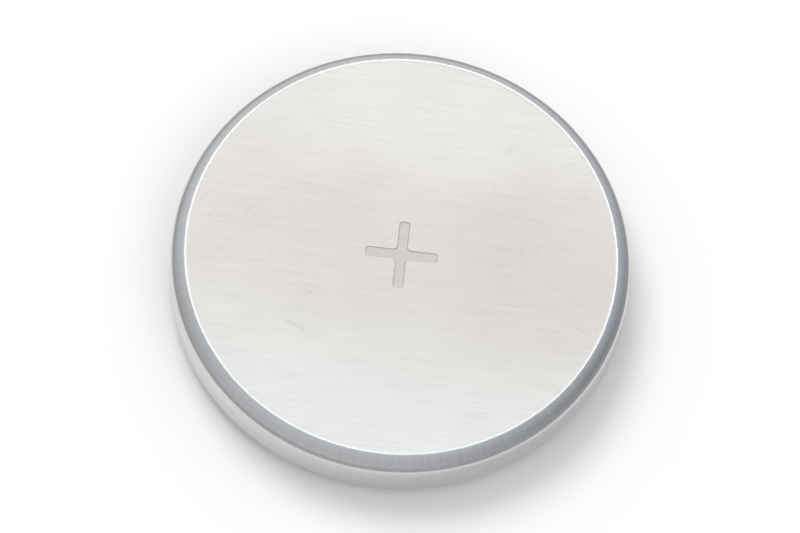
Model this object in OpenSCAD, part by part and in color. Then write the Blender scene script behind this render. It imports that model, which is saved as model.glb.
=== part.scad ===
// Lithium coin cell, 20 mm across and 3.2 mm high, lying on its negative side.
// A drawn steel can is rolled in over a plastic gasket that grips the skirt of the negative cap.
// Inside, from the cap upwards: lithium disc, separator, cathode pellet and collector grid.
// Millimetres. The origin is the middle of the negative contact face, and +Z points out of the positive face.

/* [Cell] */
// Outside diameter of the cell
cell_d = 20; // [16:0.5:24.5]
// Height from the negative contact face to the positive face
cell_h = 3.2; // [2.5:0.1:5.4]
// Width of the ring from the can's wall to the raised contact of the cap
seal_w = 1.3; // [1.2:0.05:2]

/* [Positive can] */
// Sheet thickness of the can
can_t = 0.25; // [0.2:0.01:0.3]
// Outside radius of the bend between the positive face and the wall
can_bend_r = 0.8; // [0.5:0.05:1]
// Straight length of the rolled rim past its bend
rim_lip = 0.13; // [0.05:0.01:0.2]

/* [Negative cap] */
// Sheet thickness of the cap
cap_t = 0.25; // [0.2:0.01:0.3]
// Height of the contact face over the rolled rim
contact_proud = 0.2; // [0.1:0.01:0.4]
// Outside radius round the edge of the raised contact
contact_bend_r = 0.4; // [0.3:0.01:0.45]
// Radius in the corner between the raised contact and its shoulder
corner_r = 0.1; // [0.05:0.01:0.12]
// Inside radius of the bend from the shoulder to the skirt
skirt_bend_r = 0.05; // [0.02:0.01:0.1]

/* [Gasket] */
// Wall thickness of the gasket where it is squeezed
gasket_t = 0.2; // [0.15:0.01:0.25]
// Height of the gasket's foot between the end of the skirt and the can's face
foot_h = 0.45; // [0.4:0.01:0.6]
// Height of the gasket's inner lip, measured down the skirt from the foot
lip_h = 0.8; // [0.4:0.05:0.85]
// Thickness of the gasket's inner lip
lip_t = 0.25; // [0.15:0.01:0.3]
// Depth of the gasket's bead behind the rolled rim
bead_depth = 0.08; // [0.02:0.01:0.2]
// Radius on the outer edge of the bead
bead_r = 0.1; // [0.05:0.01:0.12]

/* [Electrodes] */
// Gap between the lithium disc and the bend round the cap's recess
anode_gap = 0.5; // [0.2:0.05:1]
// Edge radius of the lithium disc
anode_edge_r = 0.05; // [0.02:0.01:0.1]
// Sheet thickness of the separator
separator_t = 0.12; // [0.05:0.01:0.2]
// Height of the separator's turned-up border
separator_h = 0.9; // [0.5:0.05:1.1]
// Outside radius of the bend in the separator's border
separator_bend_r = 0.3; // [0.25:0.01:0.4]
// Gap between the separator's border and the gasket
separator_gap = 0.05; // [0.02:0.01:0.2]
// Ring left free between the cathode pellet and the separator's border
pellet_gap = 0.98; // [0.4:0.02:1.5]
// Edge radius of the cathode pellet
pellet_edge_r = 0.15; // [0.05:0.01:0.3]

/* [Collector grid] */
// Sheet thickness of the grid
grid_t = 0.15; // [0.1:0.01:0.25]
// Gap from the pellet's edge in to the grid's edge
grid_inset = 0.4; // [0.2:0.05:1]
// Pitch of the diamonds along the long way of the mesh
mesh_long = 2.4; // [2.2:0.1:4]
// Pitch of the diamonds along the short way of the mesh
mesh_short = 1.4; // [1.3:0.1:2.5]
// Width of the strands
strand_w = 0.28; // [0.15:0.01:0.35]

/* [Fits] */
// Clearance between nested sheets and the gasket
fit = 0.01; // [0.005:0.001:0.02]

/* [Hidden] */
$fn = 128;

// The rim, the gasket and the skirt bend round one centre, so their radii add up
rim_r = skirt_bend_r + cap_t + gasket_t + can_t;
rim_z = contact_proud;
cell_r = cell_d / 2;
lip_edge_r = cell_r - rim_r - rim_lip;
can_floor_z = cell_h - can_t;

contact_r = cell_r - seal_w;
shoulder_z = rim_z + can_t + gasket_t;
skirt_r = cell_r - can_t - gasket_t;
skirt_end_z = can_floor_z - foot_h;

gasket_in_r = skirt_r - cap_t - lip_t;

// The lithium disc fills the cap's recess up to the level of its shoulder
anode_r = contact_r - contact_bend_r - anode_gap;
separator_z = shoulder_z + cap_t;
separator_r = gasket_in_r - separator_gap;
pellet_z = separator_z + separator_t;
pellet_r = separator_r - separator_t - pellet_gap;
grid_z = can_floor_z - grid_t;
grid_r = pellet_r - grid_inset;

// Half section of a disc between two heights, with its outer corners rounded
module disc_section(radius, low, high, low_r, high_r) {
    intersection() {
        translate([0, low]) square([radius, high - low]);
        union() {
            translate([0, low + low_r]) square([radius, high - low - low_r - high_r]);
            if (low_r > 0) round_edge(radius, low, low_r, 1);
            if (high_r > 0) round_edge(radius, high, high_r, -1);
        }
    }
}

// One rounded corner of such a section, with the strip that it borders
module round_edge(radius, face_z, edge_r, way) {
    mid_z = face_z + way * edge_r;
    translate([radius - edge_r, mid_z]) circle(edge_r);
    translate([0, min(face_z, mid_z)]) square([radius - edge_r, edge_r]);
}

// Fillet in the corner under a ledge, which starts at the origin and runs outwards
module cove(radius) {
    difference() {
        translate([0, -radius]) square(radius);
        translate([radius, -radius]) circle(radius);
    }
}

// Everything within the can's outer surface, or a surface that lies deeper by inset
module can_outline(inset) {
    disc_section(
        cell_r - inset, rim_z + inset, cell_h - inset,
        rim_r - inset, can_bend_r - inset
    );
}

// Everything within the cap's outer surface, or a surface that lies deeper by inset
module cap_outline(inset) {
    disc_section(
        contact_r - inset, inset, skirt_end_z,
        contact_bend_r - inset, 0
    );
    disc_section(
        skirt_r - inset, shoulder_z + inset, skirt_end_z,
        skirt_bend_r + cap_t - inset, 0
    );
    translate([contact_r - inset, shoulder_z + inset]) cove(corner_r + inset);
}

// Everything within the separator's outer surface, or a surface that lies deeper by inset
module separator_outline(inset) {
    disc_section(
        separator_r - inset, separator_z + inset, separator_z + separator_h,
        separator_bend_r - inset, 0
    );
}

// Drawn cup, open at the bottom, whose rim is rolled in under the gasket
module positive_can() {
    color([0.80, 0.79, 0.77])
    rotate_extrude() difference() {
        can_outline(0);
        can_outline(can_t);
        square([lip_edge_r, rim_z + rim_r]);
    }
}

// Pressed cap with a raised contact, a shoulder and a skirt that stands in the gasket
module negative_cap() {
    color([0.74, 0.74, 0.73])
    rotate_extrude() difference() {
        cap_outline(0);
        cap_outline(cap_t);
    }
}

// Moulded ring with a groove for the skirt, folded in under the cap's shoulder by the rolled rim
module gasket() {
    color([0.16, 0.16, 0.17])
    rotate_extrude() {
        difference() {
            union() {
                can_outline(can_t + fit);
                gasket_bead();
            }
            cap_outline(-fit);
            translate([0, skirt_end_z]) square([gasket_in_r, foot_h]);
            translate([0, skirt_end_z]) square([skirt_r + fit, fit]);
        }
        intersection() {
            can_outline(can_t + fit);
            gasket_lip();
        }
    }
}

// Bead that shows between the rolled rim and the raised contact
module gasket_bead() {
    disc_section(lip_edge_r - fit, rim_z + bead_depth, shoulder_z, bead_r, 0);
}

// Inner lip with a rounded end, which keeps the skirt away from the cathode
module gasket_lip() {
    lip_w = lip_t - fit;
    translate([gasket_in_r, skirt_end_z - lip_h + lip_w / 2]) {
        square([lip_w, lip_h + foot_h]);
        translate([lip_w / 2, 0]) circle(lip_w / 2);
    }
}

// Lithium disc pressed into the cap's recess
module lithium_anode() {
    color([0.66, 0.67, 0.70])
    rotate_extrude()
        disc_section(anode_r, cap_t, separator_z, anode_edge_r, anode_edge_r);
}

// Nonwoven disc with its border turned up along the gasket
module separator() {
    color([0.94, 0.94, 0.91])
    rotate_extrude() difference() {
        separator_outline(0);
        separator_outline(separator_t);
    }
}

// Pressed pellet of manganese dioxide, between the separator and the grid
module cathode_pellet() {
    color([0.13, 0.13, 0.13])
    rotate_extrude()
        disc_section(pellet_r, pellet_z, grid_z, pellet_edge_r, pellet_edge_r);
}

// One opening of the mesh, around the origin
module diamond() {
    half_long = (mesh_long - strand_w * mesh_long / mesh_short) / 2;
    half_short = (mesh_short - strand_w) / 2;
    polygon([[half_long, 0], [0, half_short], [-half_long, 0], [0, -half_short]]);
}

// Staggered places of the openings that lie whole within the grid
function mesh_places() = [
    for (row = [-ceil(2 * grid_r / mesh_short):ceil(2 * grid_r / mesh_short)])
    for (column = [-ceil(grid_r / mesh_long):ceil(grid_r / mesh_long)])
    let (x = (column + (row % 2 == 0 ? 0 : 0.5)) * mesh_long)
    let (y = row * mesh_short / 2)
    if (norm([abs(x) + mesh_long / 2, y]) < grid_r && norm([x, abs(y) + mesh_short / 2]) < grid_r)
    [x, y]
];

// Disc of expanded steel mesh that carries the current from the pellet to the can
module collector_grid() {
    color([0.58, 0.58, 0.57])
    translate([0, 0, grid_z]) linear_extrude(grid_t) difference() {
        circle(grid_r);
        for (place = mesh_places()) translate(place) diamond();
    }
}

positive_can();
negative_cap();
gasket();
lithium_anode();
separator();
cathode_pellet();
collector_grid();
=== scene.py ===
# %% [markdown]
# # A lithium coin cell
#
# The cell is 20 mm across and 3.2 mm high. Its case is two pressed steel pieces with a plastic ring between
# them, and inside lies a stack of four thin pieces. Six of the seven are turned from their own sections,
# and the seventh, a grid, is slit and punched from flat sheet. Every piece gets a procedural material, and
# the cell is lit like a small product on a white table.
#
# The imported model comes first, because it fixes where every piece goes. Its box is kept, to compare ours
# with.

import math

import bmesh
import bpy
from bmesh.types import BMFace, BMVert
from mathutils import Matrix, Vector


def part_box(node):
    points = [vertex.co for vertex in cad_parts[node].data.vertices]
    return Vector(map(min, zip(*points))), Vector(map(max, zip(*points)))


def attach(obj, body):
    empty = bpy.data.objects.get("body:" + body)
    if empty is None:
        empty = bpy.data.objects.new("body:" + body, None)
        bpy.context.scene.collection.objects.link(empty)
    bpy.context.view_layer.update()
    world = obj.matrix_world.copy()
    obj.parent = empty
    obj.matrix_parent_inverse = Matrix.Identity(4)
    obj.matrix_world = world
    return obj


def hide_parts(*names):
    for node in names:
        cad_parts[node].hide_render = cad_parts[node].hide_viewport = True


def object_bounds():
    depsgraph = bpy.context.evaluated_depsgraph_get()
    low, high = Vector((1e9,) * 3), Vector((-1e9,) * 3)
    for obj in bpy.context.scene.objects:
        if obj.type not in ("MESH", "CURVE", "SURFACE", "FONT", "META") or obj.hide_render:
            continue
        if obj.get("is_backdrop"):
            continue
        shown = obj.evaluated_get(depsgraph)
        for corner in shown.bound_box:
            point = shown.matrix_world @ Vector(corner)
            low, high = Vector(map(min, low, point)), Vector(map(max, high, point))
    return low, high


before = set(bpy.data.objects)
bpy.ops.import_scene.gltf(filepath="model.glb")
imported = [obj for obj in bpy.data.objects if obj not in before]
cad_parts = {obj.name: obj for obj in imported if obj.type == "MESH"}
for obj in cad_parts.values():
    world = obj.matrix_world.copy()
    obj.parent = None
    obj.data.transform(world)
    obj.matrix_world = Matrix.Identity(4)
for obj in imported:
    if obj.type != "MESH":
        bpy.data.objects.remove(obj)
packed_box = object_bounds()
print("nodes:", sorted(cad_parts))

# %% [markdown]
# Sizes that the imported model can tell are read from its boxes, so that our pieces lie exactly where it has
# them. The cell is round about Z, so a node's largest X is its radius. Everything is in metres, and MM
# keeps the small sizes readable.

# %% Read radii and heights
MM = 0.001


def reach(node):
    low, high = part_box(node)
    return high.x, low.z, high.z


can_r, rim_z, face_z = reach("positive_can")
skirt_r, contact_z, skirt_end_z = reach("negative_cap")
gasket_r, bead_z, gasket_top_z = reach("gasket")
anode_r, anode_z, anode_top_z = reach("lithium_anode")
separator_r, separator_z, separator_top_z = reach("separator")
pellet_r, pellet_z, pellet_top_z = reach("cathode_pellet")
grid_r, grid_z, grid_top_z = reach("collector_grid")
print(f"cell: radius {can_r / MM:.2f} mm, height {(face_z - contact_z) / MM:.2f} mm")

# %% [markdown]
# A box can't tell how thick a sheet is or how tightly it is bent, so those sizes are named here. The rim of
# the can, the gasket and the skirt of the cap all bend round one centre, so their radii add up from the
# inside out. FIT is the thin gap that stands in for the squeeze between the gasket and the steel.

# %% Name sheet thicknesses and bends
SHEET = 0.25 * MM
FIT = 0.01 * MM
CAN_BEND = 0.8 * MM
SKIRT_BEND = 0.05 * MM
RIM_LIP = 0.13 * MM
CONTACT_BEND = 0.4 * MM
CONTACT_RING = 1.3 * MM
CONTACT_CORNER = 0.1 * MM

squeezed = can_r - SHEET - skirt_r
rim_bend = SKIRT_BEND + SHEET + squeezed + SHEET
lip_edge_r = can_r - rim_bend - RIM_LIP
shoulder_z = rim_z + SHEET + squeezed
contact_r = can_r - CONTACT_RING
print(f"gasket squeezed to {squeezed / MM:.2f} mm, rim bent to {rim_bend / MM:.2f} mm outside")

# %% [markdown]
# ## Turned pieces
#
# Six of the seven pieces are round about one axis. Bevelled cylinders would give their outsides, but these
# are thin sheets and rings with an inside too, so each starts as a flat section: one face on a few corners.
# A vertex bevel then rounds each corner. At a right angle its offset is the radius of the arc, so every
# bend comes out at its real size. Small corners get fewer steps than large bends.

# %% Draw a rounded section
ARC_STEP = 0.06 * MM
FEWEST_STEPS = 3
MOST_STEPS = 14


def round_corner(mesh, corner, radius, steps):
    bmesh.ops.bevel(
        mesh, geom=[corner], offset=radius, offset_type="OFFSET", affect="VERTICES",
        segments=steps, profile=0.5, material=-1,
    )


def draw_section(mesh, corners):
    points = [mesh.verts.new((x, 0, z)) for x, z, _ in corners]
    mesh.faces.new(points)
    for point, (_, _, radius) in zip(points, corners):
        if radius > 0:
            steps = max(FEWEST_STEPS, min(MOST_STEPS, round(radius / ARC_STEP)))
            round_corner(mesh, point, radius, steps)


# %% [markdown]
# A Screw modifier could turn the section, but the spin operator leaves a plain mesh whose poles can be
# closed at once. Only the outline is spun: the face goes, and so do edges that lie on the axis, which would
# spin to nothing. A full spin with use_merge closes the ring on itself. Where the outline ends on the axis,
# its points meet in a pole, so doubles are merged, and the normals are recalculated after that.

# %% Spin a section into a solid
TURN_STEPS = 256
MERGE = 0.0001 * MM
AXIS_REACH = 0.001 * MM


def spin_round(mesh, steps):
    bmesh.ops.spin(
        mesh, geom=mesh.verts[:] + mesh.edges[:], cent=(0, 0, 0), axis=(0, 0, 1),
        angle=math.tau, steps=steps, use_merge=True,
    )


def spin_outline(mesh):
    bmesh.ops.delete(mesh, geom=mesh.faces[:], context="FACES_ONLY")
    on_axis = [e for e in mesh.edges if all(v.co.x < AXIS_REACH for v in e.verts)]
    bmesh.ops.delete(mesh, geom=on_axis, context="EDGES")
    spin_round(mesh, TURN_STEPS)
    bmesh.ops.remove_doubles(mesh, verts=mesh.verts, dist=MERGE)


# %% [markdown]
# Every piece ends the same way. Its mesh becomes an object at the origin, rides on the one body of the
# cell and stands for its imported node, which is hidden. Faces are shaded smooth, and edges sharper
# than a set angle stay crisp. Normals are updated before they are recalculated, because new faces may still
# carry old ones, and a volume that comes out positive shows that the faces point outwards.

# %% Finish a piece as an object
CRISP = math.radians(38)


def face_outwards(mesh):
    mesh.normal_update()
    bmesh.ops.recalc_face_normals(mesh, faces=mesh.faces)
    mesh.normal_update()


def make_object(mesh, name):
    data = bpy.data.meshes.new(name)
    mesh.to_mesh(data)
    mesh.free()
    made = bpy.data.objects.new(name, data)
    bpy.context.scene.collection.objects.link(made)
    return made


def make_piece(mesh, name, node):
    face_outwards(mesh)
    volume = mesh.calc_volume(signed=True) / MM**3
    open_edges = sum(1 for e in mesh.edges if not e.is_manifold)
    piece = make_object(mesh, name)
    piece.data.shade_smooth()
    piece.data.set_sharp_from_angle(angle=CRISP)
    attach(piece, "root")
    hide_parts(node)
    print(f"{name}: {len(piece.data.polygons)} faces, {volume:.1f} mm3, {open_edges} open edges")
    return piece


def turn_piece(corners, name, node):
    mesh = bmesh.new()
    draw_section(mesh, corners)
    spin_outline(mesh)
    return make_piece(mesh, name, node)


# %% [markdown]
# ## The positive can
#
# The can is drawn from one sheet: a flat face, a rounded shoulder, a straight wall, and a rim rolled in
# under the gasket. One surface with a Solidify modifier could be its sheet, but an outline of both sides
# gives every bend its own radius. The cut edge of the rim is the sharpest thing on the real can, so it gets
# only a hair of a radius. GUARD is a narrow flat ring beside the shoulder, which keeps the shading of the
# bend off the face. The flat face is left out of the spin near the axis, so a round hole stays open for the
# polarity mark.

# %% Turn the can
CUT_EDGE = 0.02 * MM
GUARD = 0.04 * MM
MARK_FIELD = 3.0 * MM

inside_r = can_r - SHEET
can_mesh = bmesh.new()
draw_section(
    can_mesh,
    [
        (0, face_z - SHEET, 0),
        (inside_r, face_z - SHEET, CAN_BEND - SHEET),
        (inside_r, rim_z + SHEET, rim_bend - SHEET),
        (lip_edge_r, rim_z + SHEET, CUT_EDGE),
        (lip_edge_r, rim_z, CUT_EDGE),
        (can_r, rim_z, rim_bend),
        (can_r, face_z, CAN_BEND),
        (can_r - CAN_BEND - GUARD, face_z, 0),
        (MARK_FIELD, face_z, 0),
        (0, face_z, 0),
    ],
)
field_edges = [
    e for e in can_mesh.edges
    if all(abs(v.co.z - face_z) < MERGE and v.co.x < MARK_FIELD + MERGE for v in e.verts)
]
bmesh.ops.delete(can_mesh, geom=field_edges, context="EDGES_FACES")
spin_outline(can_mesh)
print("can outline spun:", len(can_mesh.faces), "faces")

# %% [markdown]
# A plus sign on the flat face tells the poles apart. On the real can it is struck into the steel, only a
# few hundredths of a millimetre deep. A Boolean modifier could cut it, but that can leave slivers across
# the whole face. Here one square face grows four arms by extruding its edges, and the five faces dissolve
# into one, whose corners are rounded as in a worn punch. The bevels replace that face, so it is found again
# as the face with the most corners.

# %% Cut out the plus sign
MARK_LINE = 0.52 * MM
MARK_SPAN = 3.2 * MM
MARK_ROUND = 0.14 * MM
MARK_STEPS = 4


def only(kind, geom):
    return [item for item in geom if isinstance(item, kind)]


def add_plus_face(mesh):
    middle = bmesh.ops.create_grid(
        mesh, x_segments=1, y_segments=1, size=MARK_LINE / 2, matrix=Matrix.Translation((0, 0, face_z)),
    )["verts"][0].link_faces[0]
    arm = (MARK_SPAN - MARK_LINE) / 2
    faces = [middle]
    for edge in list(middle.edges):
        way = sum((v.co for v in edge.verts), Vector()) / 2
        way.z = 0
        grown = bmesh.ops.extrude_edge_only(mesh, edges=[edge])["geom"]
        bmesh.ops.translate(mesh, verts=only(BMVert, grown), vec=way.normalized() * arm)
        faces += only(BMFace, grown)
    plus = bmesh.ops.dissolve_faces(mesh, faces=faces, use_verts=False)["region"][0]
    for corner in list(plus.verts):
        round_corner(mesh, corner, MARK_ROUND, MARK_STEPS)
    return max(mesh.faces, key=lambda face: len(face.verts))


# %% [markdown]
# The flat face between the outline of the plus and the round hole is filled with triangles. A bridge
# between the two loops would fold over itself in the corners of the plus, while a fill treats the inner
# loop as a hole. Then the plus is inset three times: a narrow flat border, a sloping wall, and a narrow
# border on the floor. The borders keep the smooth shading of the wall's edges from spreading over the face.

# %% Fill the face and sink the mark
MARK_BORDER = 0.03 * MM
MARK_SLOPE = 0.03 * MM
MARK_DEPTH = 0.04 * MM

plus_face = add_plus_face(can_mesh)
plus_edges = list(plus_face.edges)
hole_edges = [e for e in can_mesh.edges if e.is_boundary and e not in plus_edges]
bmesh.ops.triangle_fill(can_mesh, edges=plus_edges + hole_edges, use_beauty=True, normal=(0, 0, 1))
face_outwards(can_mesh)
for width, depth in ((MARK_BORDER, 0), (MARK_SLOPE, -MARK_DEPTH), (MARK_BORDER, 0)):
    bmesh.ops.inset_region(can_mesh, faces=[plus_face], thickness=width, depth=depth, use_even_offset=True)
print("floor of the plus:", round(plus_face.calc_center_median().z / MM, 3), "mm high")
can = make_piece(can_mesh, "can", "positive_can")

# %% [markdown]
# ## The negative cap
#
# The cap is pressed from the same kind of sheet. Its raised contact stands proud of the rolled rim, so that
# a flat spring can touch it, and its skirt reaches up into the gasket. It could be pushed out of a disc by
# insets and extrusions, but a section shows all its bends at a glance. The list follows the outside first
# and comes back along the inside.

# %% Turn the cap
cap = turn_piece(
    [
        (0, contact_z, 0),
        (contact_r - CONTACT_BEND - GUARD, contact_z, 0),
        (contact_r, contact_z, CONTACT_BEND),
        (contact_r, shoulder_z, CONTACT_CORNER),
        (skirt_r, shoulder_z, SKIRT_BEND + SHEET),
        (skirt_r, skirt_end_z, CUT_EDGE),
        (skirt_r - SHEET, skirt_end_z, CUT_EDGE),
        (skirt_r - SHEET, shoulder_z + SHEET, SKIRT_BEND),
        (contact_r - SHEET, shoulder_z + SHEET, CONTACT_CORNER + SHEET),
        (contact_r - SHEET, contact_z + SHEET, CONTACT_BEND - SHEET),
        (0, contact_z + SHEET, 0),
    ],
    "cap", "negative_cap",
)

# %% [markdown]
# ## The gasket
#
# The gasket insulates the cap from the can and seals the cell. It is moulded as a ring with a groove for
# the skirt, and the rolled rim folds it in under the cap's shoulder, where its bead shows as a dark line. A
# torus would look like it from below, but only the real section fills the gap between the two steel pieces.
# The section is closed and stays clear of the axis, so the same spin gives a ring with no poles. The lip
# ends in two arcs, which stop just short of each other so that no points double up.

# %% Turn the gasket
LIP_THICK = 0.25 * MM
LIP_HEIGHT = 0.8 * MM
BEAD_ROUND = 0.1 * MM
MOULD_EDGE = 0.03 * MM

lip_outer_r = skirt_r - SHEET - FIT
lip_inner_r = skirt_r - SHEET - LIP_THICK
lip_round = (LIP_THICK - FIT) / 2 - MERGE
gasket_ring = turn_piece(
    [
        (lip_inner_r, gasket_top_z, MOULD_EDGE),
        (gasket_r, gasket_top_z, CAN_BEND - SHEET - FIT),
        (gasket_r, rim_z + SHEET + FIT, rim_bend - SHEET - FIT),
        (lip_edge_r - FIT, rim_z + SHEET + FIT, 0),
        (lip_edge_r - FIT, bead_z, BEAD_ROUND),
        (contact_r, bead_z, MOULD_EDGE),
        (contact_r + FIT, contact_z + CONTACT_BEND, 0),
        (contact_r + FIT, shoulder_z - FIT, CONTACT_CORNER - FIT),
        (skirt_r + FIT, shoulder_z - FIT, SKIRT_BEND + SHEET + FIT),
        (skirt_r + FIT, skirt_end_z + FIT, 0),
        (lip_outer_r, skirt_end_z + FIT, 0),
        (lip_outer_r, skirt_end_z - LIP_HEIGHT, lip_round),
        (lip_inner_r, skirt_end_z - LIP_HEIGHT, lip_round),
    ],
    "gasket_ring", "gasket",
)

# %% [markdown]
# ## What the cell holds
#
# On the cap's floor lies the lithium, a soft disc punched from a ribbon. On that lies a shallow cup of
# nonwoven separator, and in the cup stands the pressed cathode pellet. Plain cylinders would do while the
# cell is closed, but these are turned with the same care as the case, because someone may open the model.

# %% Turn the lithium, the separator and the pellet
ANODE_EDGE = 0.05 * MM
FELT = 0.12 * MM
FELT_BEND = 0.3 * MM
PELLET_EDGE = 0.15 * MM


def disc_corners(radius, low_z, high_z, edge):
    return [(0, low_z, 0), (radius, low_z, edge), (radius, high_z, edge), (0, high_z, 0)]


lithium_disc = turn_piece(
    disc_corners(anode_r, anode_z, anode_top_z, ANODE_EDGE),
    "lithium_disc", "lithium_anode",
)
separator_cup = turn_piece(
    [
        (0, separator_z, 0),
        (separator_r, separator_z, FELT_BEND),
        (separator_r, separator_top_z, CUT_EDGE),
        (separator_r - FELT, separator_top_z, CUT_EDGE),
        (separator_r - FELT, separator_z + FELT, FELT_BEND - FELT),
        (0, separator_z + FELT, 0),
    ],
    "separator_cup", "separator",
)
pellet = turn_piece(
    disc_corners(pellet_r, pellet_z, pellet_top_z, PELLET_EDGE),
    "pellet", "cathode_pellet",
)

# %% [markdown]
# Between the pellet and the can lies a grid that gathers the current. It is expanded metal: a sheet is slit
# in rows and pulled, so that each slit opens into a diamond. Single strands could be laid across each
# other, but they would have to be joined at every crossing. A square grid turned by 45 degrees and
# stretched is already a sheet of diamonds, and an odd number of squares puts one in the middle. Each
# diamond that fits whole inside the disc is inset by half a strand, and its inner face is deleted to open
# it.

# %% Open the diamonds of the grid
MESH_LONG = 2.4 * MM
MESH_SHORT = 1.4 * MM
STRAND = 0.28 * MM
SQUARES = 27
DIAGONAL = math.sqrt(2)

grid_mesh = bmesh.new()
bmesh.ops.create_grid(grid_mesh, x_segments=SQUARES, y_segments=SQUARES, size=SQUARES / 2)
on_point = Matrix.Rotation(math.radians(45), 3, "Z")
bmesh.ops.rotate(grid_mesh, verts=grid_mesh.verts, cent=(0, 0, 0), matrix=on_point)
bmesh.ops.scale(grid_mesh, verts=grid_mesh.verts, vec=(MESH_LONG / DIAGONAL, MESH_SHORT / DIAGONAL, 1))
bmesh.ops.translate(grid_mesh, verts=grid_mesh.verts, vec=(0, 0, grid_z))
whole = [f for f in grid_mesh.faces if all(v.co.xy.length < grid_r - FIT for v in f.verts)]
strand_inset = STRAND / 2 * math.cos(math.atan2(MESH_SHORT, MESH_LONG))
bmesh.ops.inset_individual(grid_mesh, faces=whole, thickness=strand_inset, use_even_offset=True)
bmesh.ops.delete(grid_mesh, geom=whole, context="FACES")
print("diamonds opened:", len(whole))

# %% [markdown]
# The disc is punched out of that sheet. A Boolean could cut it, but on a flat sheet one cut along each side
# of a fine polygon is simpler and leaves clean edges. Then the disc is extruded to its thickness. The
# normals are put right before that last step, because cutting can leave faces turned over.

# %% Punch the disc and give it its thickness
PUNCH_SIDES = 144

for side in range(PUNCH_SIDES):
    outwards = Matrix.Rotation(math.tau * side / PUNCH_SIDES, 3, "Z") @ Vector((1, 0, 0))
    bmesh.ops.bisect_plane(
        grid_mesh, geom=grid_mesh.verts[:] + grid_mesh.edges[:] + grid_mesh.faces[:],
        plane_co=outwards * grid_r * math.cos(math.pi / PUNCH_SIDES), plane_no=outwards, clear_outer=True,
    )
bmesh.ops.recalc_face_normals(grid_mesh, faces=grid_mesh.faces)
raised = bmesh.ops.extrude_face_region(grid_mesh, geom=grid_mesh.faces[:])["geom"]
bmesh.ops.translate(grid_mesh, verts=only(BMVert, raised), vec=(0, 0, grid_top_z - grid_z))
grid = make_piece(grid_mesh, "grid", "collector_grid")

# %% [markdown]
# ## A small language for finishes
#
# A finish is a sum of patterns, and a sum is easier to read in one line than as a drawing of nodes. So one
# class wraps an output socket and turns Python's operators into Math nodes: 1 - mask works as it looks.

# %% Wrap a socket
class Wire:
    def __init__(self, recipe, socket):
        self.recipe = recipe
        self.socket = socket

    def math(self, operation, *values):
        return self.recipe.node("Math", {"operation": operation}, dict(enumerate(values)))

    def __add__(self, other):
        return self.math("ADD", self, other)

    def __radd__(self, other):
        return self.math("ADD", other, self)

    def __sub__(self, other):
        return self.math("SUBTRACT", self, other)

    def __rsub__(self, other):
        return self.math("SUBTRACT", other, self)

    def __mul__(self, other):
        return self.math("MULTIPLY", self, other)

    def __rmul__(self, other):
        return self.math("MULTIPLY", other, self)

    def __truediv__(self, other):
        return self.math("DIVIDE", self, other)

    def __pow__(self, other):
        return self.math("POWER", self, other)

    def __abs__(self):
        return self.math("ABSOLUTE", self)

    def most(self, other):
        return self.math("MAXIMUM", self, other)


# %% [markdown]
# Any other node comes from one method of a recipe, which holds the node tree. The node's settings come
# first, then the values or links of its sockets.

# %% Add nodes to a tree
class Recipe:
    def __init__(self, tree):
        self.tree = tree

    def node(self, kind, settings=None, inputs=None, output=0):
        made = self.tree.nodes.new("ShaderNode" + kind)
        for name, value in (settings or {}).items():
            setattr(made, name, value)
        for name, value in (inputs or {}).items():
            self.fill(made.inputs[name], value)
        return Wire(self, made.outputs[output])

    def fill(self, socket, value):
        if isinstance(value, Wire):
            self.tree.links.new(value.socket, socket)
        else:
            socket.default_value = value


# %% [markdown]
# A skin is the recipe of one material. Its patterns are placed in millimetres on the object itself, so they
# stay put when the camera moves. Every finish needs the same few things: a place, a noise, a soft step from
# 0 to 1 and a blend of two colours. Numbers that are the same all over are set straight on the shader.

# %% Add places, noises, steps and blends
class Skin(Recipe):
    def __init__(self, name, **constants):
        self.material = bpy.data.materials.new(name)
        self.material.use_nodes = True
        super().__init__(self.material.node_tree)
        self.shader = self.tree.nodes["Principled BSDF"]
        self.set(**constants)
        place = self.node("TexCoord", output="Object")
        self.place = self.node("VectorMath", {"operation": "SCALE"}, {0: place, "Scale": 1 / MM})
        self.x, self.y, self.z = (
            self.node("SeparateXYZ", inputs={0: self.place}, output=axis) for axis in "XYZ"
        )
        self.radius = (self.x * self.x + self.y * self.y) ** 0.5

    def set(self, **values):
        for name, value in values.items():
            self.fill(self.shader.inputs[name.replace("_", " ")], value)

    def at(self, x, y, z):
        return self.node("CombineXYZ", inputs={"X": x, "Y": y, "Z": z})

    def turn(self, angle, shift=0.0):
        move = {"Rotation": (0, 0, math.radians(angle)), "Location": (shift, 0, 0)}
        return self.node("Mapping", inputs={"Vector": self.place, **move})

    def stretch(self, place, amounts):
        return self.node("VectorMath", {"operation": "MULTIPLY"}, {0: place, 1: amounts})

    def noise(self, place, scale=1.0, detail=2.0):
        return self.node("TexNoise", inputs={"Vector": place, "Scale": scale, "Detail": detail})

    def step(self, value, low, high):
        limits = {"Value": value, "From Min": low, "From Max": high}
        return self.node("MapRange", {"interpolation_type": "SMOOTHSTEP"}, limits)

    def spot(self, x, y, inner, outer):
        across = self.x - x
        along = self.y - y
        return 1 - self.step((across * across + along * along) ** 0.5, inner, outer)

    def blend(self, first, second, share):
        return self.node("Mix", {"data_type": "RGBA"}, {0: share, 6: first, 7: second}, output=2)

    def tone(self, colour, brightness):
        return self.node("VectorMath", {"operation": "SCALE"}, {0: colour, "Scale": brightness})

    def bump(self, height, depth):
        return self.node("Bump", inputs={"Strength": 1.0, "Distance": depth, "Height": height})

    def dress(self, piece):
        piece.data.materials.append(self.material)
        print(f"{piece.name}: finished in {self.material.name}, {len(self.tree.nodes)} nodes")


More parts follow.
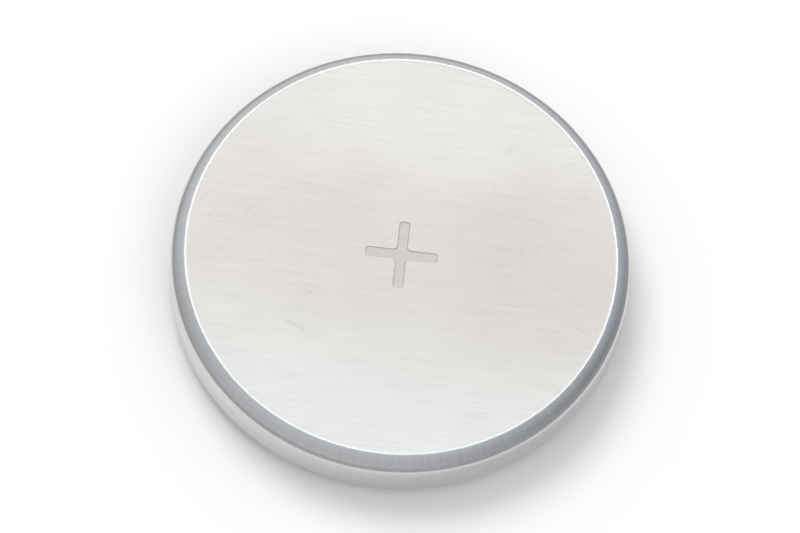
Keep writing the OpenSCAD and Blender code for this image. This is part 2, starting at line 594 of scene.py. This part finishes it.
# %% [markdown]
# The brightness, the roughness and the relief of a finish all follow the same patterns, each by its own
# amount. So the patterns are named once, and vary adds them to a start value: rim=-0.2 takes away a fifth
# where the rim pattern is 1. A noise lies round 0.5, so half is taken off it first and it adds as much as
# it takes away.

# %% Add patterns up
NOISE_MIDDLE = 0.5


def vary(patterns, start, **amounts):
    value = start
    for name, amount in amounts.items():
        value = value + patterns[name] * amount
    return value


def total(wires):
    first, *others = wires
    return sum(others, first)


# %% [markdown]
# ## Steel
#
# Both steel pieces are nickel-plated and satin. On the flat parts the sheet keeps the grain of the rolling
# mill, long fine lines in one direction. Round the bends, drawing has pulled the grain over the edge, so
# there the lines run down the wall. A picture of brushed steel would have to be wrapped round the wall and
# would show a seam. A noise that is sampled on the direction from the axis has none.

# %% Write the grain of drawn sheet
ROLLED_ALONG = 0.35
ROLLED_ACROSS = 7.0
DRAWN_LINES = 90.0
DRAWN_ALONG = 0.15


def flat_part(skin, flat_r, inside, outside):
    return 1 - skin.step(skin.radius, flat_r / MM - inside, flat_r / MM + outside)


def rolled_grain(skin):
    stretched = skin.at(skin.x * ROLLED_ALONG, skin.y * ROLLED_ACROSS, skin.z * ROLLED_ALONG)
    return skin.noise(stretched, detail=4.0)


def drawn_grain(skin):
    around_x = skin.x / skin.radius * DRAWN_LINES
    around_y = skin.y / skin.radius * DRAWN_LINES
    return skin.noise(skin.at(around_x, around_y, skin.z * DRAWN_ALONG), detail=3.0)


def sheet_grain(skin, flat):
    return rolled_grain(skin) * flat + drawn_grain(skin) * (1 - flat)


# %% [markdown]
# Handling leaves hairline scratches. They could be drawn one by one as curves, but a noise that is
# stretched along one direction already has thin lines, where it crosses its middle value. Only a few of
# them are kept, where a second, larger noise is high.

# %% Write hairline scratches
HAIR_STRETCH = (0.04, 1.6, 0.04)
HAIR_WIDTH = 0.008
HAIR_PATCHES = 0.45


def thin_lines(skin, place, stretch, width):
    ridge = abs(skin.noise(skin.stretch(place, stretch), detail=1.0) - NOISE_MIDDLE)
    return 1 - skin.step(ridge, low=0.0, high=width)


def hairlines(skin, angle, shift):
    turned = skin.turn(angle, shift)
    few = skin.step(skin.noise(turned, scale=HAIR_PATCHES, detail=1.0), low=0.56, high=0.66)
    return thin_lines(skin, turned, HAIR_STRETCH, HAIR_WIDTH) * few


# %% [markdown]
# The face of the can is coloured with a painted reflection of the lighting: palest and warm towards the
# back, cooler towards the front and a little darker across the middle. A rosy patch lies on the left and a
# darker one on the right. A ramp over a noise would scatter such tones, so each band and patch is given its
# place in millimetres, and one large noise lets the bands wander. In the struck mark the steel is a little
# darker.

# %% Colour the can's face
# The pale warm tone and the cool tone are painted reflection, and the middle tone is the darker stretch
# between them.
PAINTED_WARM_REFLECTION = (0.815, 0.800, 0.775, 1)
PAINTED_COOL_REFLECTION = (0.785, 0.797, 0.788, 1)
STEEL_MIDDLE = (0.735, 0.708, 0.675, 1)
STEEL_ROSE = (0.745, 0.690, 0.640, 1)
STEEL_DUSK = (0.665, 0.635, 0.600, 1)
STRUCK_STEEL = (0.500, 0.490, 0.475, 1)
WANDER = 5.0
ROSE_SHARE = 0.40
DUSK_SHARE = 0.45
STRUCK_SHARE = 0.40


def colour_face(skin, mark):
    drift = skin.y + (skin.noise(skin.place, scale=0.13) - NOISE_MIDDLE) * WANDER
    rose = skin.spot(x=-3.2, y=0.4, inner=0.5, outer=5.5)
    dusk = skin.spot(x=6.0, y=-0.5, inner=1.0, outer=6.5)
    # Painted reflection: pale and warm towards the back, cool towards the front, darker in between.
    face = skin.blend(STEEL_MIDDLE, PAINTED_WARM_REFLECTION, skin.step(drift, low=0.0, high=8.5))
    face = skin.blend(face, PAINTED_COOL_REFLECTION, skin.step(drift, low=-1.0, high=-8.5))
    face = skin.blend(face, STEEL_ROSE, rose * ROSE_SHARE)
    face = skin.blend(face, STEEL_DUSK, dusk * DUSK_SHARE)
    return skin.blend(face, STRUCK_STEEL, mark * STRUCK_SHARE)


# %% [markdown]
# The rest of the can's finish puts the patterns together. The drawing tool has burnished the shoulder and
# the wall, so they are smoother than the face, and the wall is a little greyer. Where the rolling tool
# closed the rim, the steel is rougher, and its colour is darkened as painted shade where the can meets the
# table. One even satin would look like plastic, so grain, smudges and scratches change the brightness by a
# few hundredths, and grain and smudges change the roughness as well.

# %% Finish the can
STEEL_WALL = (0.640, 0.645, 0.650, 1)
STRUCK_FULL = 0.8
CAN_SCRATCHES = ((24, 3.0), (-58, 11.0), (81, 29.0))
GRAIN_DEPTH = 0.004 * MM


def finish_can():
    skin = Skin("drawn_nickel_steel", Metallic=1.0)
    on_face = flat_part(skin, can_r - CAN_BEND, inside=0.05, outside=0.25)
    struck = 1 - skin.step(skin.z, (face_z - MARK_DEPTH * STRUCK_FULL) / MM, face_z / MM)
    grain = sheet_grain(skin, on_face)
    patterns = {
        "face": on_face,
        "mark": struck * on_face,
        # The rim pattern makes the steel rougher, and in the tone it darkens it: painted shade where the can
        # meets the table.
        "rim": 1 - skin.step(skin.z, (rim_z + SHEET) / MM, (rim_z + rim_bend) / MM),
        "grain": grain - NOISE_MIDDLE,
        "smudge": skin.noise(skin.place, scale=0.3, detail=3.0) - NOISE_MIDDLE,
        "scratch": total(hairlines(skin, angle, shift) for angle, shift in CAN_SCRATCHES) * on_face,
    }
    steel = skin.blend(STEEL_WALL, colour_face(skin, patterns["mark"]), on_face)
    # rim=-0.20 darkens the colour by a fifth as painted shade at the foot of the can.
    tone = vary(patterns, start=1.0, grain=0.16, smudge=0.08, scratch=-0.08, rim=-0.20)
    skin.set(
        Base_Color=skin.tone(steel, tone),
        Roughness=vary(patterns, start=0.17, face=0.17, mark=0.10, rim=0.10, grain=0.16, smudge=0.14),
        Normal=skin.bump(vary(patterns, start=grain, scratch=-0.4), GRAIN_DEPTH),
    )
    return skin


finish_can().dress(can)

# %% [markdown]
# The cap is of the same steel, but its contact is left more matt, with the fine orange peel of a pressed
# sheet. The spring that it sits on in use leaves short rubbed arcs round the middle. They could be cut into
# the mesh, but worn steel is only a change of tone and gloss, so a round track in the material is broken up
# by a noise.

# %% Finish the cap
CAP_STEEL = (0.700, 0.695, 0.680, 1)
CAP_SHOULDER = (0.600, 0.600, 0.595, 1)
RUBBED_STEEL = (0.800, 0.795, 0.780, 1)
RUB_R = 3.4
RUB_SHARE = 0.7
CAP_SCRATCHES = ((-35, 5.0), (12, 19.0))
PEEL_DEPTH = 0.008 * MM


def finish_cap():
    skin = Skin("pressed_nickel_steel", Metallic=1.0)
    on_contact = flat_part(skin, contact_r - CONTACT_BEND, inside=0.1, outside=0.3)
    peel = skin.noise(skin.place, scale=9.0, detail=2.0)
    track = 1 - skin.step(abs(skin.radius - RUB_R), low=0.15, high=0.5)
    rubbed = track * skin.step(skin.noise(skin.place, scale=0.5), low=0.52, high=0.6) * on_contact
    grain = sheet_grain(skin, on_contact)
    patterns = {
        "contact": on_contact,
        "rubbed": rubbed,
        "grain": grain - NOISE_MIDDLE,
        "peel": peel - NOISE_MIDDLE,
        "scratch": total(hairlines(skin, angle, shift) for angle, shift in CAP_SCRATCHES) * on_contact,
    }
    steel = skin.blend(CAP_SHOULDER, CAP_STEEL, on_contact)
    steel = skin.blend(steel, RUBBED_STEEL, rubbed * RUB_SHARE)
    relief = grain * vary(patterns, start=0.1, contact=0.4) + peel * (1 - rubbed) * on_contact
    skin.set(
        Base_Color=skin.tone(steel, vary(patterns, start=1.0, grain=0.12, peel=0.12, scratch=-0.06)),
        Roughness=vary(patterns, start=0.26, contact=0.16, grain=0.12, peel=0.10, rubbed=-0.14),
        Normal=skin.bump(vary(patterns, start=relief, scratch=-0.6), PEEL_DEPTH),
    )
    return skin


finish_cap().dress(cap)

# %% [markdown]
# The grid is slit from thin steel. Its strands could share the cap's finish, but they were pulled open, so
# they are duller in patches and finely wrinkled, and have no grain in one direction.

# %% Finish the grid
GRID_STEEL = (0.560, 0.555, 0.540, 1)
GRID_DULL = (0.400, 0.395, 0.385, 1)
WRINKLE_DEPTH = 0.016 * MM


def finish_grid():
    skin = Skin("expanded_steel", Metallic=1.0)
    pulled = skin.noise(skin.place, scale=1.6, detail=3.0)
    patterns = {"pulled": pulled - NOISE_MIDDLE, "fine": skin.noise(skin.place, scale=14.0)}
    skin.set(
        Base_Color=skin.blend(GRID_STEEL, GRID_DULL, skin.step(pulled, low=0.4, high=0.65)),
        Roughness=vary(patterns, start=0.30, pulled=0.30),
        Normal=skin.bump(vary(patterns, start=pulled, fine=0.5), WRINKLE_DEPTH),
    )
    return skin


finish_grid().dress(grid)

# %% [markdown]
# ## Plastic
#
# The gasket is moulded in dark polypropylene, with the faint grain of a spark-eroded mould. One flat colour
# would look like rubber. Plastic this dark shows itself by its sheen, so the roughness varies and the
# colour hardly does.

# %% Finish the gasket
MOULDED_DARK = (0.022, 0.023, 0.025, 1)
MOULDED_WORN = (0.045, 0.046, 0.048, 1)
MOULD_DEPTH = 0.016 * MM


def finish_gasket():
    skin = Skin("moulded_dark_plastic", Specular_IOR_Level=0.5)
    mould = skin.noise(skin.place, scale=11.0, detail=3.0)
    worn = skin.noise(skin.place, scale=0.8, detail=3.0)
    patterns = {"mould": mould - NOISE_MIDDLE, "worn": worn - NOISE_MIDDLE}
    skin.set(
        Base_Color=skin.blend(MOULDED_DARK, MOULDED_WORN, skin.step(worn, low=0.45, high=0.7)),
        Roughness=vary(patterns, start=0.36, worn=0.25, mould=0.10),
        Normal=skin.bump(mould, MOULD_DEPTH),
    )
    return skin


finish_gasket().dress(gasket_ring)

# %% [markdown]
# ## The stack inside
#
# Fresh lithium is bright, but it dulls within minutes to a soft grey with bluish and straw-coloured
# patches. It is still a metal under that film, so it stays metallic and the film is only a change of colour
# and gloss. Ribbon lines from the rolls that it was drawn through run one way, like the grain of the steel.

# %% Finish the lithium
LITHIUM = (0.580, 0.585, 0.600, 1)
LITHIUM_DULL = (0.450, 0.458, 0.485, 1)
LITHIUM_STRAW = (0.560, 0.530, 0.460, 1)
STRAW_SHARE = 0.6
RIBBON_DEPTH = 0.016 * MM


def finish_lithium():
    skin = Skin("tarnished_lithium", Metallic=1.0)
    ribbon = rolled_grain(skin)
    dull = skin.step(skin.noise(skin.place, scale=0.6, detail=5.0), low=0.35, high=0.7)
    straw = skin.step(skin.noise(skin.place, scale=0.22, detail=3.0), low=0.5, high=0.75)
    patterns = {"dull": dull, "ribbon": ribbon - NOISE_MIDDLE}
    film = skin.blend(LITHIUM, LITHIUM_STRAW, straw * STRAW_SHARE)
    skin.set(
        Base_Color=skin.blend(film, LITHIUM_DULL, dull),
        Roughness=vary(patterns, start=0.42, dull=0.18, ribbon=0.15),
        Normal=skin.bump(vary(patterns, start=ribbon, dull=0.5), RIBBON_DEPTH),
    )
    return skin


finish_lithium().dress(lithium_disc)

# %% [markdown]
# The separator is a thin felt of white fibres laid in all directions. Real fibres as curves would take many
# thousands of faces for a piece that is seldom seen. Three noises, each stretched along its own direction,
# read as crossing fibres, and a coarser one makes the thicker and thinner places of a nonwoven.

# %% Finish the separator
FELT_WHITE = (0.900, 0.900, 0.880, 1)
FELT_THIN = (0.740, 0.740, 0.715, 1)
FIBRE_ANGLES = (15, 75, 132)
FIBRE_STRETCH = (1.2, 14.0, 4.0)
FIBRE_WIDTH = 0.05
FELT_DEPTH = 0.04 * MM


def fibres(skin, angle):
    return thin_lines(skin, skin.turn(angle), FIBRE_STRETCH, FIBRE_WIDTH)


def finish_separator():
    skin = Skin("white_nonwoven", Specular_IOR_Level=0.3)
    thick = skin.noise(skin.place, scale=1.3, detail=3.0)
    patterns = {"laid": total(fibres(skin, angle) for angle in FIBRE_ANGLES), "thick": thick - NOISE_MIDDLE}
    dense = skin.step(vary(patterns, start=thick, laid=0.2), low=0.3, high=0.75)
    skin.set(
        Base_Color=skin.blend(FELT_THIN, FELT_WHITE, dense),
        Roughness=vary(patterns, start=0.72, thick=0.30),
        Normal=skin.bump(vary(patterns, start=thick, laid=0.5), FELT_DEPTH),
    )
    return skin


finish_separator().dress(separator_cup)

# %% [markdown]
# The cathode is manganese dioxide powder pressed with carbon. It is black and matt, with coarse grains that
# stand out a little and a few that glint. Real grains would be far too many, so a Voronoi pattern gives
# their rounded shapes to the relief, and a sharp step on a fine noise picks the few that shine. Those are
# smoother, and their colour is also painted lighter as a painted glint.

# %% Finish the pellet
POWDER_BLACK = (0.016, 0.016, 0.017, 1)
POWDER_GREY = (0.060, 0.060, 0.062, 1)
POWDER_DEPTH = 0.032 * MM


def finish_pellet():
    skin = Skin("pressed_black_powder", Specular_IOR_Level=0.4)
    grains = skin.node("TexVoronoi", inputs={"Vector": skin.place, "Scale": 6.0}, output="Distance")
    press = skin.noise(skin.place, scale=2.2, detail=4.0)
    glint = skin.step(skin.noise(skin.place, scale=8.0, detail=1.0), low=0.66, high=0.74)
    patterns = {"press": press - NOISE_MIDDLE, "glint": glint}
    # The glint share lightens the colour: a painted glint on grains that are also smoother.
    grey = vary(patterns, start=0.30, press=0.60, glint=0.40)
    skin.set(
        Base_Color=skin.blend(POWDER_BLACK, POWDER_GREY, grey),
        Roughness=vary(patterns, start=0.78, glint=-0.35, press=0.20),
        Normal=skin.bump(press - grains, POWDER_DEPTH),
    )
    return skin


finish_pellet().dress(pellet)

# %% [markdown]
# ## The white table
#
# The cell lies on a plain white table. A lamp on the table could turn it white, but it would bleach the
# cell as well. So close to the cell the table is matt and takes the soft shadow, and further out the camera
# and the steel see it as pure white. That makes the background even and gives the metal something bright to
# reflect.

# %% Lay the table
WHITE = (1, 1, 1, 1)
TABLE_WHITE = (0.95, 0.95, 0.95, 1)
TABLE_R = 0.6


def seen_directly(recipe):
    kinds = ("Is Camera Ray", "Is Glossy Ray", "Is Transmission Ray")
    camera_ray, glossy_ray, through_ray = (recipe.node("LightPath", output=kind) for kind in kinds)
    return camera_ray.most(glossy_ray).most(through_ray)


table_mesh = bmesh.new()
bmesh.ops.create_circle(table_mesh, cap_ends=True, segments=96, radius=TABLE_R)
bmesh.ops.translate(table_mesh, verts=table_mesh.verts, vec=(0, 0, contact_z))
table = make_object(table_mesh, "table")
table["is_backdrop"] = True

paper = Skin("white_table", Base_Color=TABLE_WHITE, Roughness=0.8, Specular_IOR_Level=0.2)
glow = paper.node("Emission", inputs={"Color": WHITE, "Strength": 1.0})
far = paper.step(paper.radius, low=13.0, high=24.0) * seen_directly(paper)
surface = paper.node("MixShader", inputs={0: far, 1: Wire(paper, paper.shader.outputs[0]), 2: glow})
paper.fill(paper.tree.nodes["Material Output"].inputs["Surface"], surface)
paper.dress(table)

# %% [markdown]
# ## A tent for the steel
#
# Bright metal shows nothing but what is round it. In an all-white room the shoulder of the can would melt
# into the face, so a product photographer hangs a tent of grey cloth close round the table, with an opening
# where the flat face looks. The face then shows the white sky, and every surface that leans away from it
# shows the grey. A vertex is spun into an arc and the arc into a shell, which leans until its opening lies
# where the camera sees the face's reflection. Only glossy rays meet the tent, so the table's light stays
# plain.

# %% Shape the tent
SEEN_HEIGHT = 0.912
ELEVATION = math.asin(SEEN_HEIGHT)
FACE_LOOKS = Vector((0, math.cos(ELEVATION), math.sin(ELEVATION)))
TENT_R = 60 * MM
OPENING = math.radians(34)
TENT_END = math.radians(130)
ARC_STEPS = 16
SCREEN_STEPS = 72


def shell(start, end, radius):
    mesh = bmesh.new()
    tip = mesh.verts.new((radius * math.sin(start), 0, radius * math.cos(start)))
    bmesh.ops.spin(
        mesh, geom=[tip], cent=(0, 0, 0), axis=(0, 1, 0),
        angle=end - start, steps=ARC_STEPS, use_merge=False,
    )
    spin_round(mesh, SCREEN_STEPS)
    lean = Matrix.Rotation(ELEVATION - math.radians(90), 3, "X")
    bmesh.ops.rotate(mesh, verts=mesh.verts, cent=(0, 0, 0), matrix=lean)
    return mesh


def hang_screen(name, mesh):
    screen = make_object(mesh, name)
    for kind in ("camera", "diffuse", "shadow", "transmission"):
        setattr(screen, "visible_" + kind, False)
    screen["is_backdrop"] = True
    skin = Skin(name, Base_Color=(0, 0, 0, 1), Specular_IOR_Level=0.0, Emission_Strength=1.0)
    skin.dress(screen)
    return skin


# %% [markdown]
# A real cloth is never one grey. This one is lightest near the opening and towards the front and back ends,
# and darkest and bluest on the right, so the shoulder changes its tone on the way round the cell. The cloth
# glows by itself, because a lamp on it would also light the table.

# %% Hang the tent round the table
TENT_GREY = (0.96, 0.98, 1.0, 1)
TENT_BLUE = (0.88, 0.90, 1.0, 1)


def paint_grey(screen):
    radius = TENT_R / MM
    above = screen.node(
        "VectorMath", {"operation": "DOT_PRODUCT"}, {0: screen.place, 1: FACE_LOOKS}, output="Value",
    )
    patterns = {
        "rise": screen.step(above / radius, low=0.0, high=math.cos(OPENING)),
        "ends": abs(screen.y) / radius,
        "right": screen.x / radius,
    }
    colour = screen.blend(TENT_GREY, TENT_BLUE, screen.step(patterns["right"], low=0.0, high=0.9))
    brightness = vary(patterns, start=0.44, rise=0.20, ends=0.20, right=-0.10)
    screen.set(Emission_Color=screen.tone(colour, brightness))


paint_grey(hang_screen("grey_tent", shell(OPENING, TENT_END, TENT_R)))

# %% [markdown]
# The same grey cloth lies on the table, with a round hole for the cell. Without it, the outer half of the
# shoulder would show the white table. One edge spun round the axis makes the flat ring.

# %% Lay the grey cloth on the table
CLOTH_HOLE = 13.5 * MM
CLOTH_LIFT = 0.05 * MM

cloth_mesh = bmesh.new()
cloth_mesh.edges.new([cloth_mesh.verts.new((radius, 0, CLOTH_LIFT)) for radius in (CLOTH_HOLE, TENT_R)])
spin_round(cloth_mesh, SCREEN_STEPS)
paint_grey(hang_screen("grey_cloth", cloth_mesh))

# %% [markdown]
# A narrow ring of light round the opening draws the thin bright line where the face turns into the
# shoulder. A lamp would give only a spot there, because the shoulder runs all the way round. The ring is
# warm behind and cool in front, as with a lamp on one side of a table and a window on the other.

# %% Hang the ring of light
RING_WIDTH = math.radians(4)
RING_R = 58.8 * MM
RING_WARM = (1.0, 0.985, 0.96, 1)
RING_COOL = (0.94, 0.985, 1.0, 1)
RING_GLOW = 3.0

ring = hang_screen("light_ring", shell(OPENING - RING_WIDTH, OPENING, RING_R))
opening_y = FACE_LOOKS.y * TENT_R / MM
opening_r = math.sin(OPENING) * TENT_R / MM
warm = ring.step((ring.y - opening_y) / opening_r, low=-0.8, high=0.8)
ring.set(Emission_Color=ring.tone(ring.blend(RING_COOL, RING_WARM, warm), RING_GLOW))

# %% [markdown]
# ## Lamps and sky
#
# A small hard lamp would give a sharp black shadow, so both lamps are large and soft. The one above and
# behind gives the cell its shadow towards the front, and a weaker one in front fills it. They light only
# what is matt: the steel gets its light from the white sky, the tent and the ring.

# %% Hang the lamps
def hang_lamp(name, place, size, watts, colour):
    light = bpy.data.lights.new(name, "AREA")
    light.shape = "DISK"
    light.size = size
    light.energy = watts
    light.color = colour
    lamp = bpy.data.objects.new(name, light)
    lamp.location = place
    lamp.rotation_euler = (-Vector(place)).to_track_quat("-Z", "Y").to_euler()
    lamp.visible_camera = False
    lamp.visible_glossy = False
    bpy.context.scene.collection.objects.link(lamp)
    print(f"{name}: {watts} W, {Vector(place).length:.2f} m away")


hang_lamp("back_softbox", place=(-0.12, 0.16, 0.34), size=0.22, watts=0.62, colour=(1.0, 0.985, 0.96))
hang_lamp("front_softbox", place=(0.16, -0.20, 0.30), size=0.26, watts=0.22, colour=(0.96, 0.985, 1.0))

# %% [markdown]
# The sky is pure white to the camera and in the steel. At that strength it would wash out the shadow on the
# table, so matt surfaces get only part of it.

# %% Paint the sky
MATT_SKY = 0.66

world = bpy.data.worlds.new("white_sky")
world.use_nodes = True
bpy.context.scene.world = world
sky = Recipe(world.node_tree)
backdrop = world.node_tree.nodes["Background"]
sky.fill(backdrop.inputs["Color"], WHITE)
sky.fill(backdrop.inputs["Strength"], MATT_SKY + seen_directly(sky) * (1 - MATT_SKY))
print("sky strength for matt surfaces:", MATT_SKY)

# %% [markdown]
# ## Camera
#
# The photograph looks down steeply: the round face shows as an ellipse 0.912 times as high as it is wide,
# so the camera stands 65.8 degrees above the table. The picture is also turned by 6.8 degrees. A wide lens
# close by would spread the front of the cell, so a long lens keeps the perspective as flat as it is there.

# %% Place the camera
ROLL = math.radians(6.8)
LENS = 300
DISTANCE = 0.29
NEAREST = 0.01
AIM_SHARE = 0.6

aim = Vector((0, 0, face_z * AIM_SHARE))
to_camera = Vector((0, -math.cos(ELEVATION), math.sin(ELEVATION)))
lens = bpy.data.cameras.new("camera")
lens.lens = LENS
lens.clip_start = NEAREST
camera = bpy.data.objects.new("camera", lens)
turn = (-to_camera).to_track_quat("-Z", "Y").to_matrix().to_4x4()
camera.matrix_world = Matrix.Translation(aim + to_camera * DISTANCE) @ turn @ Matrix.Rotation(ROLL, 4, "Z")
bpy.context.scene.collection.objects.link(camera)
bpy.context.scene.camera = camera
bpy.context.scene.view_settings.view_transform = "Standard"
print(f"camera {math.degrees(ELEVATION):.1f} degrees above the table")

# %% [markdown]
# ## Compare the boxes and finish
#
# The dressed cell must be exactly as large as the imported one, so the corners of both boxes are compared
# before the end.

# %% Compare the boxes and finish
apart = max((ours - packed).length for ours, packed in zip(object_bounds(), packed_box))
print(f"corners of the two boxes: at most {apart / MM:.6f} mm apart")
